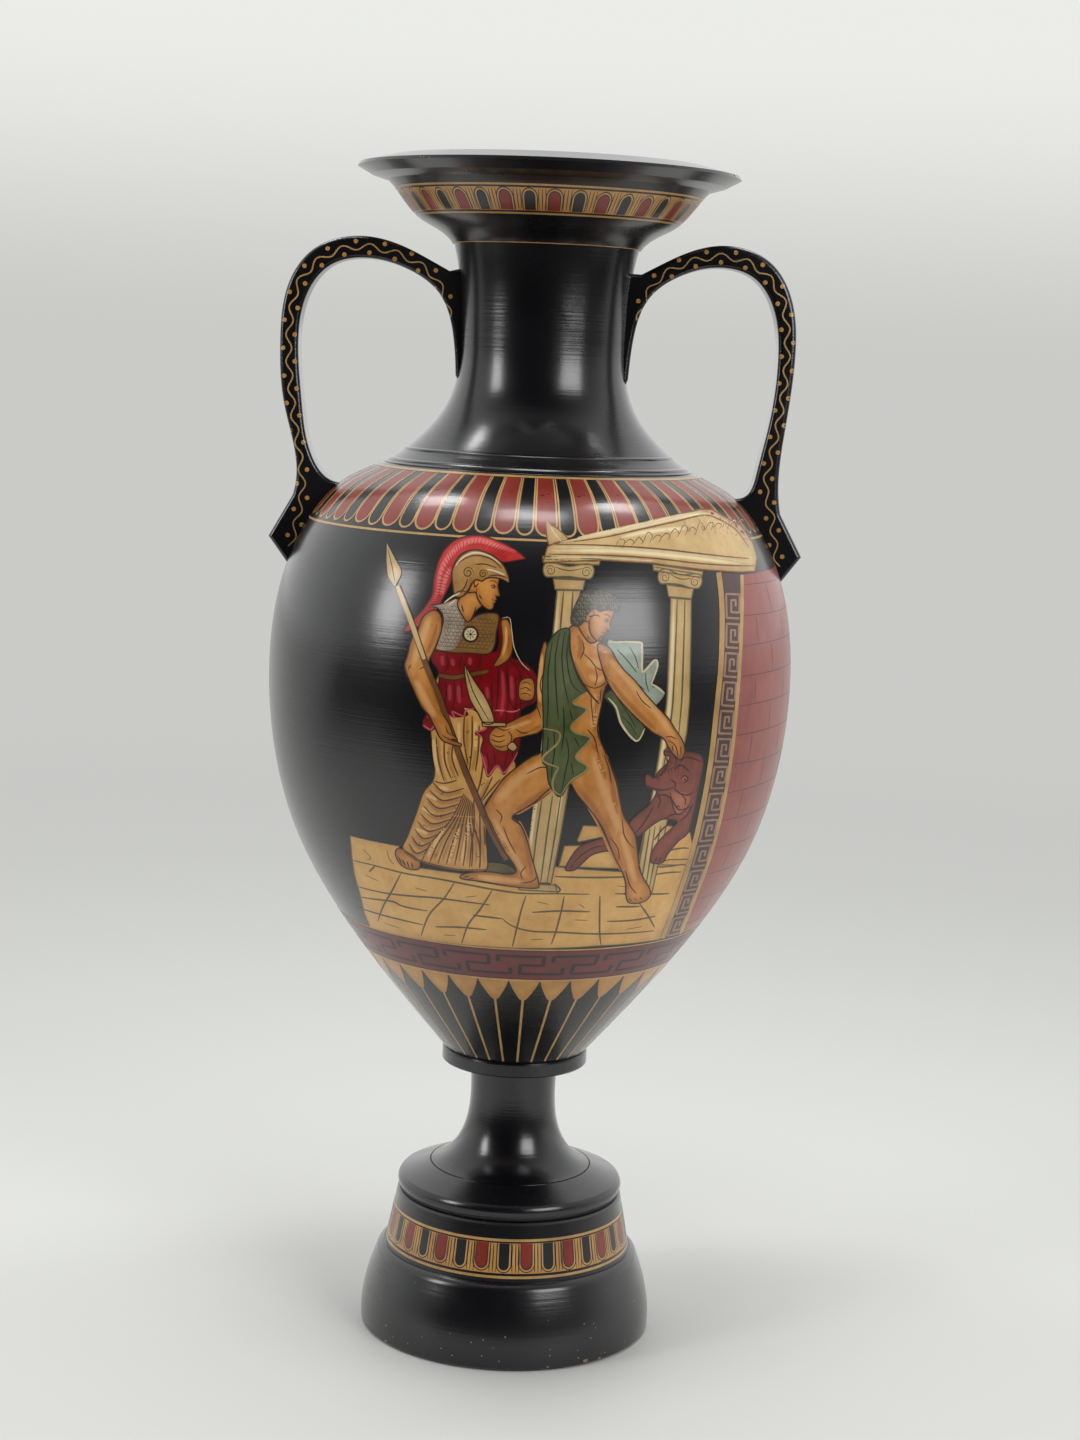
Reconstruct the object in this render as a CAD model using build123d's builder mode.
from build123d import *

import math
import os

# A black-glazed amphora on a two-tier plinth. It is thrown in sections that are luted
# together with slip and fired as one, and two strap handles are luted to neck and shoulder.
# Millimetres, +Z up. The origin is the centre of the ring that the plinth stands on,
# +X runs through the right handle and the painted picture faces -Y.

# --- Heights of the joints between the thrown sections --------------------------------
BASE_TOP = 42.0
DRUM_TOP = 71.0
DISC_TOP = 85.5
STEM_TOP = 140.3
COLLAR_TOP = 147.6
BODY_BASE_TOP = 200.0
LOWER_BODY_TOP = 268.0
UPPER_BODY_TOP = 392.0
SHOULDER_TOP = 447.6
NECK_TOP = 556.5
BOWL_TOP = 586.0
RIM_TOP = 597.5

# --- Walls ------------------------------------------------------------------------------
VESSEL_WALL = 6.3
MOUTH_WALL = 6.5
PLINTH_WALL = 9.0
FLOOR_THICKNESS = 11.0

# --- Lap joints: a tongue on the lower section stands in a recess in the upper one --------
TONGUE_WIDTH = 2.4
TONGUE_HEIGHT = 3.5

# --- Fine turning marks -----------------------------------------------------------------
GROOVE_WIDTH = 1.3
GROOVE_DEPTH = 0.8

# --- Outer half profile of body and neck, (radius, height) --------------------------------
BODY_SEAT = (36.3, COLLAR_TOP)
NECK_FOOT_RADIUS = 78.2
VESSEL_PROFILE = [
    BODY_SEAT,
    (63.6, 180.0),
    (93.8, 220.0),
    (116.3, 260.0),
    (128.2, 300.0),
    (132.2, 340.0),
    (128.8, 380.0),
    (113.2, 420.0),
    (98.0, 437.0),
    (NECK_FOOT_RADIUS, SHOULDER_TOP),
    (58.2, 463.0),
    (47.3, 477.5),
    (42.4, 494.0),
    (41.9, 515.0),
    (42.8, 537.0),
    (46.6, 558.0),
]
UPPER_GROOVE = (70.6, 453.2)

# --- Mouth: a flaring bowl under a broad flange ---------------------------------------------
BOWL_RADIUS = 80.0
BOWL_BORE_RADIUS = 69.5
BOWL_PROFILE = [
    (47.0, NECK_TOP),
    (54.6, 563.0),
    (63.6, 568.0),
    (71.0, 575.5),
    (76.2, 582.0),
    (BOWL_RADIUS, BOWL_TOP),
]
BOWL_INSIDE = [
    (39.8, NECK_TOP),
    (45.5, 565.5),
    (57.0, 572.8),
    (64.5, 580.0),
    (BOWL_BORE_RADIUS, BOWL_TOP),
]
FLANGE_SOFFIT = (88.0, 588.4)
FLANGE_TIP = (95.0, 592.2)
FLANGE_TIP_TOP = (94.4, 593.7)
FLANGE_CREST = (79.5, RIM_TOP)
FLANGE_LIP = (74.0, RIM_TOP)
FLANGE_BORE = (71.5, 594.5)
# The tongues under the bowl and under the flange stand in the middle of their joints.
NECK_TONGUE_RADIUS = 43.6
BOWL_TONGUE_RADIUS = 75.5

# --- Foot: collar, stem and disc ---------------------------------------------------------
COLLAR_RADIUS = 37.5
COLLAR_TENON_LENGTH = 10.0
COLLAR_ROUND = 0.8
STEM_FOOT_RADIUS = 42.0
STEM_PROFILE = [
    (22.3, STEM_TOP),
    (22.0, 122.0),
    (24.6, 104.5),
    (30.4, 93.5),
    (STEM_FOOT_RADIUS, DISC_TOP),
]
STEM_BORE_RADIUS = 12.0
STEM_FLARE_TOP = 104.0
STEM_FLARE_RADIUS = 27.0
STEM_SEAT_HEIGHT = 80.5
DISC_SHOULDER = (56.6, 79.6)
DISC_WIDEST = (58.2, 76.6)
DISC_LOWER_EDGE = (57.3, 73.0)
DISC_UNDERCUT_RADIUS = 56.4

# --- Plinth --------------------------------------------------------------------------------
DRUM_TOP_RADIUS = 58.2
DRUM_BOTTOM_RADIUS = 63.8
DRUM_EDGE_RADIUS = 58.4
DRUM_BEVEL = 1.0
BASE_RADIUS = 75.4
BASE_BEAD = 1.5
BASE_PROFILE = [
    (BASE_RADIUS, BASE_BEAD),
    (74.6, 16.0),
    (71.4, 29.0),
    (68.0, 38.6),
]
BASE_CROWN_RADIUS = 64.8

# --- Handles: outline in the XZ plane, strap across Y --------------------------------------
HANDLE_DEPTH = 22.0
HANDLE_ROUND = 2.2
HANDLE_OUTER = [
    (47.5, 543.5),
    (57.0, 548.5),
    (74.0, 556.2),
    (91.5, 559.0),
    (114.0, 551.0),
    (124.6, 535.0),
    (128.2, 506.0),
    (125.4, 474.0),
    (120.8, 441.0),
    (122.4, 429.0),
]
HANDLE_INNER = [
    (98.5, 436.0),
    (105.0, 438.0),
    (111.3, 449.0),
    (116.9, 476.0),
    (119.3, 506.0),
    (115.8, 529.0),
    (104.8, 543.9),
    (88.0, 548.2),
    (67.0, 543.2),
    (52.0, 532.0),
    (45.2, 514.0),
    (43.0, 492.0),
]
# Corners inside the vessel's wall, where the strap is scored and luted on, and the butt
# end of the spur that the strap runs out into on the shoulder.
HANDLE_TAIL = (38.0, 482.0)
HANDLE_HEAD = (38.0, 545.0)
SPUR_CORNER = (134.0, 408.0)
SPUR_HEEL = (124.0, 394.5)
SPUR_ROOT = (100.0, 402.0)
# The handles are pulled by hand, so one reaches out and rises a little more than the other.
ARCH_FOOT = (45.0, 441.0)
LEFT_REACH = 1.03
LEFT_RISE = 0.992
RIGHT_REACH = 0.97
RIGHT_RISE = 1.012


def inset(profile, thickness):
    """The profile moved square to itself, towards the axis, by the wall's thickness."""
    moved = []
    last = len(profile) - 1
    for place, (radius, height) in enumerate(profile):
        before = profile[max(place - 1, 0)]
        after = profile[min(place + 1, last)]
        run = after[0] - before[0]
        rise = after[1] - before[1]
        length = math.hypot(run, rise)
        moved.append((radius - thickness * rise / length, height + thickness * run / length))
    return moved


def vessel_wall(low, high):
    """Half section of the body and neck wall between two heights, in the open sketch."""
    with BuildLine() as outline:
        outside = Spline(*VESSEL_PROFILE)
        inside = Spline(*inset(VESSEL_PROFILE, VESSEL_WALL))
        Line(outside @ 0, inside @ 0)
        Line(outside @ 1, inside @ 1)
    make_face(outline.edges())
    keep_between(low, high)


def keep_between(low, high):
    """Trims the open sketch to the heights between two joints."""
    with Locations((RIM_TOP / 2, (low + high) / 2)):
        Rectangle(RIM_TOP, high - low, mode=Mode.INTERSECT)


def wall_middle(height):
    """Radius of the middle of the vessel's wall at a height, along the profile's chords."""
    for (radius_1, height_1), (radius_2, height_2) in zip(VESSEL_PROFILE, VESSEL_PROFILE[1:]):
        if height_1 <= height <= height_2:
            run = radius_2 - radius_1
            rise = height_2 - height_1
            outside = radius_1 + run * (height - height_1) / rise
            return outside - VESSEL_WALL * math.hypot(run, rise) / rise / 2
    raise ValueError("this height is off the vessel's profile")


def tongue(radius, joint_height, mode):
    """Half section of a lap joint's tongue, standing on a joint, in the open sketch."""
    with Locations((radius, joint_height + TONGUE_HEIGHT / 2)):
        Rectangle(TONGUE_WIDTH, TONGUE_HEIGHT, mode=mode)


def groove(radius, height):
    """Half section of an incised ring, taken out of the open sketch."""
    with Locations((radius, height)):
        Ellipse(GROOVE_DEPTH, GROOVE_WIDTH / 2, mode=Mode.SUBTRACT)


DRUM_TONGUE_RADIUS = DRUM_TOP_RADIUS - PLINTH_WALL / 2
BASE_TONGUE_RADIUS = DRUM_BOTTOM_RADIUS - PLINTH_WALL / 2
BODY_TONGUE_RADIUS = wall_middle(BODY_BASE_TOP + TONGUE_HEIGHT / 2)
LOWER_TONGUE_RADIUS = wall_middle(LOWER_BODY_TOP + TONGUE_HEIGHT / 2)
UPPER_TONGUE_RADIUS = wall_middle(UPPER_BODY_TOP + TONGUE_HEIGHT / 2)
SHOULDER_TONGUE_RADIUS = wall_middle(SHOULDER_TOP + TONGUE_HEIGHT / 2)

# --- Plinth base: the bell-shaped lower tier, open below -------------------------------------
with BuildPart() as plinth_base:
    with BuildSketch(Plane.XZ):
        with BuildLine():
            flank = Spline(*BASE_PROFILE)
            crown = TangentArc(flank @ 1, (BASE_CROWN_RADIUS, BASE_TOP), tangent=flank % 1)
            Polyline(
                crown @ 1,
                (DRUM_TOP_RADIUS - PLINTH_WALL, BASE_TOP),
                (DRUM_TOP_RADIUS - PLINTH_WALL, BASE_TOP - PLINTH_WALL),
                (BASE_RADIUS - PLINTH_WALL, PLINTH_WALL),
                (BASE_RADIUS - PLINTH_WALL, 0.0),
                (BASE_RADIUS - BASE_BEAD, 0.0),
                flank @ 0,
            )
        make_face()
        tongue(BASE_TONGUE_RADIUS, BASE_TOP, Mode.ADD)
    revolve(axis=Axis.Z)
plinth_base.part.label = "plinth_base"

# --- Plinth drum: the tapering upper tier, a plain ring ---------------------------------------
with BuildPart() as plinth_drum:
    with BuildSketch(Plane.XZ):
        with BuildLine():
            Polyline(
                (DRUM_BOTTOM_RADIUS, BASE_TOP),
                (DRUM_EDGE_RADIUS, DRUM_TOP - DRUM_BEVEL),
                (DRUM_EDGE_RADIUS - DRUM_BEVEL, DRUM_TOP),
                (DRUM_TOP_RADIUS - PLINTH_WALL, DRUM_TOP),
                (DRUM_TOP_RADIUS - PLINTH_WALL, BASE_TOP),
                close=True,
            )
        make_face()
        tongue(BASE_TONGUE_RADIUS, BASE_TOP, Mode.SUBTRACT)
        tongue(DRUM_TONGUE_RADIUS, DRUM_TOP, Mode.ADD)
    revolve(axis=Axis.Z)
plinth_drum.part.label = "plinth_drum"

# --- Foot disc: closes the drum, with a seat turned in its top for the stem --------------------
with BuildPart() as foot_disc:
    with BuildSketch(Plane.XZ):
        with BuildLine():
            edge = ThreePointArc(DISC_LOWER_EDGE, DISC_WIDEST, DISC_SHOULDER)
            Polyline(
                edge @ 1,
                (STEM_FOOT_RADIUS, DISC_TOP),
                (STEM_FOOT_RADIUS, STEM_SEAT_HEIGHT),
                (STEM_FLARE_RADIUS, STEM_SEAT_HEIGHT),
                (STEM_FLARE_RADIUS, DRUM_TOP),
                (DISC_UNDERCUT_RADIUS, DRUM_TOP),
                edge @ 0,
            )
        make_face()
        tongue(DRUM_TONGUE_RADIUS, DRUM_TOP, Mode.SUBTRACT)
    revolve(axis=Axis.Z)
foot_disc.part.label = "foot_disc"

# --- Foot stem: a hollow trumpet that flares out into the disc -----------------------------------
with BuildPart() as foot_stem:
    with BuildSketch(Plane.XZ):
        with BuildLine():
            flare = Spline(*STEM_PROFILE)
            Polyline(
                flare @ 1,
                (STEM_FOOT_RADIUS, STEM_SEAT_HEIGHT),
                (STEM_FLARE_RADIUS, STEM_SEAT_HEIGHT),
                (STEM_BORE_RADIUS, STEM_FLARE_TOP),
                (STEM_BORE_RADIUS, STEM_TOP),
                flare @ 0,
            )
        make_face()
        groove(STEM_FOOT_RADIUS, DISC_TOP)
    revolve(axis=Axis.Z)
foot_stem.part.label = "foot_stem"

# --- Collar: a turned disc under the body, with a tenon down into the stem -----------------------
with BuildPart() as collar:
    with BuildSketch(Plane.XZ):
        with BuildLine():
            Polyline(
                (0.0, COLLAR_TOP),
                (COLLAR_RADIUS - COLLAR_ROUND, COLLAR_TOP),
                (COLLAR_RADIUS, COLLAR_TOP - COLLAR_ROUND),
                (COLLAR_RADIUS, STEM_TOP + COLLAR_ROUND),
                (COLLAR_RADIUS - COLLAR_ROUND, STEM_TOP),
                (STEM_BORE_RADIUS, STEM_TOP),
                (STEM_BORE_RADIUS, STEM_TOP - COLLAR_TENON_LENGTH),
                (0.0, STEM_TOP - COLLAR_TENON_LENGTH),
                close=True,
            )
        make_face()
    revolve(axis=Axis.Z)
collar.part.label = "collar"

# --- Body base: the small bowl that stands on the collar, with the vessel's floor ------------------
with BuildPart() as body_base:
    with BuildSketch(Plane.XZ):
        vessel_wall(COLLAR_TOP, BODY_BASE_TOP)
        with BuildLine():
            Polyline(
                (0.0, COLLAR_TOP),
                BODY_SEAT,
                (BODY_SEAT[0] + FLOOR_THICKNESS / 2, COLLAR_TOP + FLOOR_THICKNESS),
                (0.0, COLLAR_TOP + FLOOR_THICKNESS),
                close=True,
            )
        make_face()
        tongue(BODY_TONGUE_RADIUS, BODY_BASE_TOP, Mode.ADD)
    revolve(axis=Axis.Z)
body_base.part.label = "body_base"

# --- Lower body: the section that opens the bowl out ---------------------------------------------
with BuildPart() as lower_body:
    with BuildSketch(Plane.XZ):
        vessel_wall(BODY_BASE_TOP, LOWER_BODY_TOP)
        tongue(BODY_TONGUE_RADIUS, BODY_BASE_TOP, Mode.SUBTRACT)
        tongue(LOWER_TONGUE_RADIUS, LOWER_BODY_TOP, Mode.ADD)
    revolve(axis=Axis.Z)
lower_body.part.label = "lower_body"

# --- Upper body: the widest section ------------------------------------------------------------
with BuildPart() as upper_body:
    with BuildSketch(Plane.XZ):
        vessel_wall(LOWER_BODY_TOP, UPPER_BODY_TOP)
        tongue(LOWER_TONGUE_RADIUS, LOWER_BODY_TOP, Mode.SUBTRACT)
        tongue(UPPER_TONGUE_RADIUS, UPPER_BODY_TOP, Mode.ADD)
    revolve(axis=Axis.Z)
upper_body.part.label = "upper_body"

# --- Shoulder: closes the body in, its upper edge under the lower neck groove ---------------------
with BuildPart() as shoulder:
    with BuildSketch(Plane.XZ):
        vessel_wall(UPPER_BODY_TOP, SHOULDER_TOP)
        tongue(UPPER_TONGUE_RADIUS, UPPER_BODY_TOP, Mode.SUBTRACT)
        tongue(SHOULDER_TONGUE_RADIUS, SHOULDER_TOP, Mode.ADD)
        groove(NECK_FOOT_RADIUS, SHOULDER_TOP)
    revolve(axis=Axis.Z)
shoulder.part.label = "shoulder"

# --- Neck ----------------------------------------------------------------------------------------
with BuildPart() as neck:
    with BuildSketch(Plane.XZ):
        vessel_wall(SHOULDER_TOP, NECK_TOP)
        tongue(SHOULDER_TONGUE_RADIUS, SHOULDER_TOP, Mode.SUBTRACT)
        tongue(NECK_TONGUE_RADIUS, NECK_TOP, Mode.ADD)
        groove(NECK_FOOT_RADIUS, SHOULDER_TOP)
        groove(*UPPER_GROOVE)
    revolve(axis=Axis.Z)
neck.part.label = "neck"

# --- Mouth bowl: the flaring cup on the neck -------------------------------------------------------
with BuildPart() as mouth_bowl:
    with BuildSketch(Plane.XZ):
        with BuildLine():
            outside = Spline(*BOWL_PROFILE)
            inside = Spline(*BOWL_INSIDE)
            Line(outside @ 0, inside @ 0)
            Line(outside @ 1, inside @ 1)
        make_face()
        tongue(NECK_TONGUE_RADIUS, NECK_TOP, Mode.SUBTRACT)
        tongue(BOWL_TONGUE_RADIUS, BOWL_TOP, Mode.ADD)
    revolve(axis=Axis.Z)
mouth_bowl.part.label = "mouth_bowl"

# --- Mouth flange: the broad lip, bevelled above and below to a thin edge ----------------------------
with BuildPart() as mouth_flange:
    with BuildSketch(Plane.XZ):
        with BuildLine():
            Polyline(
                (BOWL_RADIUS, BOWL_TOP),
                FLANGE_SOFFIT,
                FLANGE_TIP,
                FLANGE_TIP_TOP,
                FLANGE_CREST,
                FLANGE_LIP,
                FLANGE_BORE,
                (BOWL_BORE_RADIUS, BOWL_TOP),
                close=True,
            )
        make_face()
        tongue(BOWL_TONGUE_RADIUS, BOWL_TOP, Mode.SUBTRACT)
    revolve(axis=Axis.Z)
mouth_flange.part.label = "mouth_flange"

# --- Handles: straps with softened edges, cut to the vessel's surface ----------------------------------
def pulled(points, reach, rise):
    """The arch of an outline drawn further out and up from its foot; the spur stays."""
    foot_radius, foot_height = ARCH_FOOT
    drawn = []
    for radius, height in points:
        if height > foot_height:
            radius = foot_radius + (radius - foot_radius) * reach
            height = foot_height + (height - foot_height) * rise
        drawn.append((radius, height))
    return drawn


def handle_strap(reach, rise):
    """A handle on the +X side."""
    with BuildPart() as strap:
        with BuildSketch(Plane.XZ):
            with BuildLine():
                outer = Spline(*pulled(HANDLE_OUTER, reach, rise))
                inner = Spline(*pulled(HANDLE_INNER, reach, rise))
                Polyline(inner @ 1, HANDLE_TAIL, HANDLE_HEAD, outer @ 0)
                Polyline(outer @ 1, SPUR_CORNER, SPUR_HEEL, SPUR_ROOT, inner @ 0)
            make_face()
        extrude(amount=HANDLE_DEPTH / 2, both=True)
        fillet(faces().filter_by(Axis.Y).edges(), HANDLE_ROUND)
        with BuildSketch(Plane.XZ):
            with BuildLine():
                vessel_outline = Spline(*VESSEL_PROFILE)
                Polyline(
                    vessel_outline @ 1,
                    (0.0, VESSEL_PROFILE[-1][1]),
                    (0.0, VESSEL_PROFILE[0][1]),
                    vessel_outline @ 0,
                )
            make_face()
        revolve(axis=Axis.Z, mode=Mode.SUBTRACT)
    return strap.part


with BuildPart() as handle_right:
    add(handle_strap(RIGHT_REACH, RIGHT_RISE))
handle_right.part.label = "handle_right"

with BuildPart() as handle_left:
    mirror(handle_strap(LEFT_REACH, LEFT_RISE), about=Plane.YZ)
handle_left.part.label = "handle_left"

PIECES = [
    plinth_base,
    plinth_drum,
    foot_disc,
    foot_stem,
    collar,
    body_base,
    lower_body,
    upper_body,
    shoulder,
    neck,
    mouth_bowl,
    mouth_flange,
    handle_left,
    handle_right,
]

os.makedirs("parts", exist_ok=True)
for piece in PIECES:
    export_step(piece.part, "parts/" + piece.part.label + ".step")
